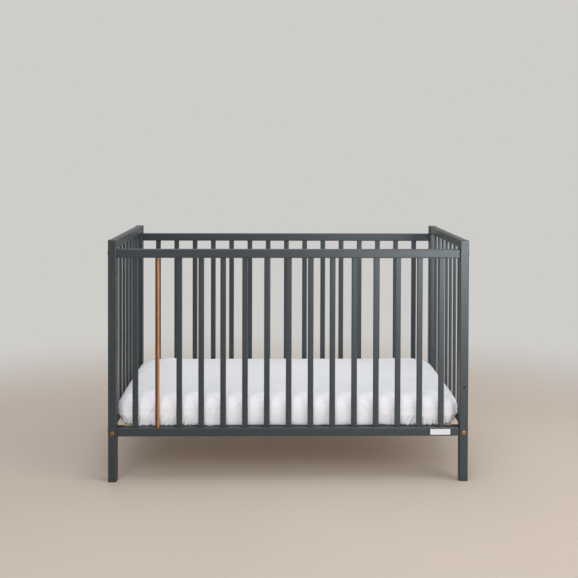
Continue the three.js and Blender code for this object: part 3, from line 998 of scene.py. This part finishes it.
    def crease(self, piece, low, high):
        """Raises the creases on the cloth, each with a shallow valley along one side of it."""
        rows = self.creases(low, high)
        normals = [v.normal.copy() for v in piece.data.vertices]
        for vertex, normal in zip(piece.data.vertices, normals):
            place = vertex.co.copy()
            lift = 0
            for foot, head, width, depth in rows:
                way = head - foot
                if abs(place.x - (foot.x + head.x) / 2) > abs(way.x) / 2 + 3 * width:
                    continue
                along = (place - foot).dot(way) / way.length_squared
                if not 0 < along < 1:
                    continue
                away = place - foot - along * way
                off = away.length / width
                if off < 3:
                    fade = 4 * along * (1 - along)
                    beside = away.dot(way.cross(normal).normalized()) / width
                    lift += depth * fade * (math.exp(-off * off) - 0.5 * math.exp(-(beside - 1.5) ** 2))
            vertex.co = place + normal * lift

    def pleats(self, rng, reach, height):
        """Folds of the elastic each side of one corner: place, width, depth, height, lean."""
        row = []
        place = -reach
        while place < reach:
            near = 1 - abs(place) / reach
            row.append((
                place,
                rng.uniform(3, 5.4) * MM,
                rng.uniform(0.5, 1) * (0.35 + 0.65 * near) * 9 * MM,
                rng.uniform(0.5, 1) * height,
                rng.uniform(-0.7, 0.7),
            ))
            place += rng.uniform(10, 23) * MM
        return row

    def round_corner(self, place, high, corner):
        """How far round the nearest corner a place is, and how far outside the outline."""
        dx, dy = abs(place.x) - (high.x - corner), abs(place.y) - (high.y - corner)
        half_arc = corner * math.pi / 4
        if dx > 0 and dy > 0:
            return math.atan2(dy, dx) * corner - half_arc, math.hypot(dx, dy) - corner
        if dx - dy > 0 and dx > -corner * 3:
            return dy - half_arc, dx - corner
        return half_arc - dx, dy - corner

    def gather(self, piece, low, high, bedding):
        """Puckers the bottom edge each side of the corners, where the elastic pulls it in."""
        rng = random.Random(7)
        reach, tallest = bedding.gather_reach, bedding.gather_height
        under_reach, under_ramp = 16 * MM, 12 * MM
        pleats = {(end, side): self.pleats(rng, reach, tallest)
                  for end in ENDS.values() for side in SIDES.values()}
        normals = [v.normal.copy() for v in piece.data.vertices]
        for vertex, normal in zip(piece.data.vertices, normals):
            height = vertex.co.z - low.z
            if height > tallest:
                continue
            around, outside = self.round_corner(vertex.co, high, bedding.corner)
            under = between(0, (outside + under_reach) / under_ramp, 1)
            if under <= 0 or abs(around) > reach * 1.05:
                continue
            fold = 0
            for place, width, depth, tall, lean in pleats[1 if vertex.co.x > 0 else -1,
                                                          1 if vertex.co.y > 0 else -1]:
                off = abs(around - place - lean * height) / width
                if off < 3:
                    fade = max(0, 1 - (max(0, height) / tall) ** 2)
                    fold += depth * fade * math.exp(-off ** 1.5)
            swell = self.puff * max(0, 1 - abs(around) / reach)
            vertex.co += normal * (swell - min(fold, self.deepest_fold)) * under

    def hang(self, piece, low, scene):
        """Lets the cloth sag past the slats' ends, between the base's rails and the side rails."""
        slats_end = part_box("slatted_base")[1].y - scene.cot_timber.slat_setback
        post = -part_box("front_left_post")[1].x
        past_slats, slat_ramp = 1.5 * MM, 4 * MM
        past_post, post_ramp = 25 * MM, 40 * MM
        tallest = 28 * MM
        for vertex in piece.data.vertices:
            outside = between(0, (abs(vertex.co.y) - slats_end - past_slats) / slat_ramp, 1)
            clear = between(0, (post - past_post - abs(vertex.co.x)) / post_ramp, 1)
            height = (vertex.co.z - low.z) / tallest
            if outside > 0 and height < 1:
                uneven = 1 + 0.2 * noise.noise(vertex.co * 45)
                droop = scene.cot_bedding.droop * outside * clear
                vertex.co.z -= droop * (1 - max(0, height)) ** 1.2 * uneven

    def keep_inside(self, piece, sizes):
        """Keeps the cloth within the space between the rails, bars and slats."""
        slack, end_bulge, side_bulge = 0.7 * MM, 5.2 * MM, 3.2 * MM
        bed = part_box("fitted_sheet")[0].z + 0.2 * MM
        end_low, end_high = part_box("left_end_top_rail")
        end_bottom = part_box("left_end_grille")[0].z + (end_high.z - end_low.z)
        side_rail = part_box("rear_bottom_rail")
        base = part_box("slatted_base")[1]
        slats_end, rail_top = base.y - sizes.slat_setback, base.z - sizes.slat_thickness
        rail_edge = base.y + 0.3 * MM
        over_rail, beside_rail = rail_top + 1.2 * MM, rail_top - 1.6 * MM
        over_end, over_side = end_bottom + 2 * MM, side_rail[1].z + 1.5 * MM
        for vertex in piece.data.vertices:
            x, y, z = vertex.co
            if abs(y) < slats_end + slack:
                floor = bed
            else:
                floor = over_rail if abs(y) < rail_edge else beside_rail
            z = max(floor, z)
            # Over the bottom rails the cloth may swell out, towards the thinner bars.
            reach_x = -end_high.x - slack + (0 if z < over_end else end_bulge)
            reach_y = side_rail[0].y - slack + (0 if z < over_side else side_bulge)
            vertex.co = (between(-reach_x, x, reach_x), between(-reach_y, y, reach_y), z)


# ---------------------------------------------------------------- stage


class COT_OT_stage(bpy.types.Operator):
    """Set the stage: floor, background, lamps and camera"""

    bl_idname = "cot.stage"
    bl_label = "Stage"

    camera_place = Vector((-0.0549, -3.4039, 1.135))
    yaw, pitch, roll = 1.0, 1.0, 0.164
    lens, shift = 55.59, -0.205
    sweep_centre, sweep_near, sweep_far = (0, -1, 0), 1.8, 3.4
    backdrop = linear("CFCDCA")
    # Name: place, aim, size, power, colour, and the light that it leaves out.
    lamps = {
        "window": ((3.1, -2.2, 1.8), (0.1, 0, 0.5), 3.2, 64, "FCFBFC", None),
        "ceiling": ((0.4, -0.4, 3.2), (0.1, 0, 0), 2.8, 45, "FDFBFF", None),
        "back": ((-1.2, 3.4, 2.3), (0, 0, 0.4), 3.2, 27, "F8FAFF", "visible_glossy"),
        "room": ((-1.0, -4.3, 2.2), (0, 0, 0.3), 3.6, 93, "F5F8FF", "visible_glossy"),
        "sheen_card": ((1.25, -2.7, 0.95), (0.4, 0, 0.7), 0.8, 72, "DDEBF4", "visible_diffuse"),
    }

    def execute(self, context):
        self.floor(context)
        self.world(context)
        for name, values in self.lamps.items():
            self.lamp(context, name, *values)
        self.camera(context)
        context.scene.view_settings.view_transform = "Standard"
        return {"FINISHED"}

    def floor(self, context):
        """A plain floor that fades into the backdrop's colour away from the cot."""
        deselect_all()
        bpy.ops.mesh.primitive_circle_add(vertices=96, radius=14, fill_type="NGON")
        floor = named(bpy.context.object, "floor")
        material, tree, shader, place = new_material("matt_vinyl_floor")
        vinyl = tuple(context.scene.cot_colours.floor)
        cloud = add_node(tree, "TexNoise", Vector=(place, "Object"), Scale=1.5, Detail=3.0)
        tone = add_node(tree, "ValToRGB", stops=[(0.3, shade(vinyl, 0.98)), (0.7, shade(vinyl, 1.02))],
                        Fac=(cloud, 0))
        fill(shader, Base_Color=(tone, 0), Roughness=0.8, Specular_IOR_Level=0.2)
        reach = add_node(tree, "VectorMath", {"operation": "DISTANCE"}, _0=(place, "Object"),
                         _1=self.sweep_centre)
        far = add_node(tree, "MapRange", {"interpolation_type": "SMOOTHSTEP"}, Value=(reach, "Value"),
                       From_Min=self.sweep_near, From_Max=self.sweep_far)
        fade = add_node(tree, "Math", {"operation": "MULTIPLY"}, _0=(far, 0),
                        _1=(self.looked_at(tree), 0))
        sweep = add_node(tree, "Emission", Color=(*self.backdrop, 1), Strength=1.0)
        mix = add_node(tree, "MixShader", _0=(fade, 0), _1=(shader, 0), _2=(sweep, 0))
        fill(tree.nodes["Material Output"], Surface=(mix, 0))
        floor.data.materials.append(material)

    def looked_at(self, tree):
        """One where a ray comes straight from the eye, or by way of a mirror or a glass."""
        path = add_node(tree, "LightPath")
        first = add_node(tree, "Math", {"operation": "MAXIMUM"}, _0=(path, "Is Camera Ray"),
                         _1=(path, "Is Glossy Ray"))
        return add_node(tree, "Math", {"operation": "MAXIMUM"}, _0=(first, 0),
                        _1=(path, "Is Transmission Ray"))

    def world(self, context):
        """Soft light all round, with the backdrop's colour where it is looked at."""
        world = bpy.data.worlds.new("studio")
        context.scene.world = world
        world.use_nodes = True
        tree = world.node_tree
        light = tree.nodes["Background"]
        fill(light, Color=(*linear("F4F7FA"), 1), Strength=0.33)
        seen = add_node(tree, "Background", Color=(*self.backdrop, 1), Strength=1.0)
        mix = add_node(tree, "MixShader", _0=(self.looked_at(tree), 0), _1=(light, 0), _2=(seen, 0))
        fill(tree.nodes["World Output"], Surface=(mix, 0))

    def lamp(self, context, name, place, aim, size, power, code, without):
        """A square area lamp."""
        data = bpy.data.lights.new(name, "AREA")
        data.size = size
        data.energy = power
        data.color = linear(code)
        lamp = bpy.data.objects.new(name, data)
        context.scene.collection.objects.link(lamp)
        lamp.location = place
        lamp.rotation_euler = (Vector(aim) - Vector(place)).to_track_quat("-Z", "Y").to_euler()
        if without:
            setattr(lamp, without, False)

    def camera(self, context):
        """The camera, a little left of the middle and above the top rails."""
        data = bpy.data.cameras.new("camera")
        data.sensor_width = 36
        data.lens = self.lens
        data.shift_y = self.shift
        camera = bpy.data.objects.new("camera", data)
        context.scene.collection.objects.link(camera)
        yaw, pitch, roll = (math.radians(a) for a in (self.yaw, self.pitch, self.roll))
        turn = Matrix.Rotation(-yaw, 4, "Z") @ Matrix.Rotation(math.pi / 2 - pitch, 4, "X")
        camera.matrix_world = Matrix.Translation(self.camera_place) @ turn @ Matrix.Rotation(roll, 4, "Z")
        context.scene.camera = camera


# ---------------------------------------------------------------- add-on


OPERATORS = [COT_OT_stage, COT_OT_posts, COT_OT_end_panels, COT_OT_side_panels, COT_OT_natural_bar,
             COT_OT_base, COT_OT_bolts, COT_OT_name_plate, COT_OT_mattress, COT_OT_sheet]


class COT_PT_panel(bpy.types.Panel):
    """The cot's operators and sizes, in the sidebar"""

    bl_idname = "COT_PT_panel"
    bl_label = "Wooden baby cot"
    bl_space_type = "VIEW_3D"
    bl_region_type = "UI"
    bl_category = "Cot"

    def draw(self, context):
        for operator in OPERATORS:
            self.layout.operator(operator.bl_idname)
        for name, kind in SETTINGS.items():
            box = self.layout.box()
            for key in kind.__annotations__:
                box.prop(getattr(context.scene, name), key)


def register():
    for kind in [*SETTINGS.values(), *OPERATORS, COT_PT_panel]:
        bpy.utils.register_class(kind)
    for name, kind in SETTINGS.items():
        setattr(bpy.types.Scene, name, PointerProperty(type=kind))


def unregister():
    for name in SETTINGS:
        delattr(bpy.types.Scene, name)
    for kind in reversed([*SETTINGS.values(), *OPERATORS, COT_PT_panel]):
        bpy.utils.unregister_class(kind)


def main():
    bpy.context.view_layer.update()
    register()
    for operator in OPERATORS:
        family, name = operator.bl_idname.split(".")
        getattr(getattr(bpy.ops, family), name)()


if __name__ == "__main__":
    main()
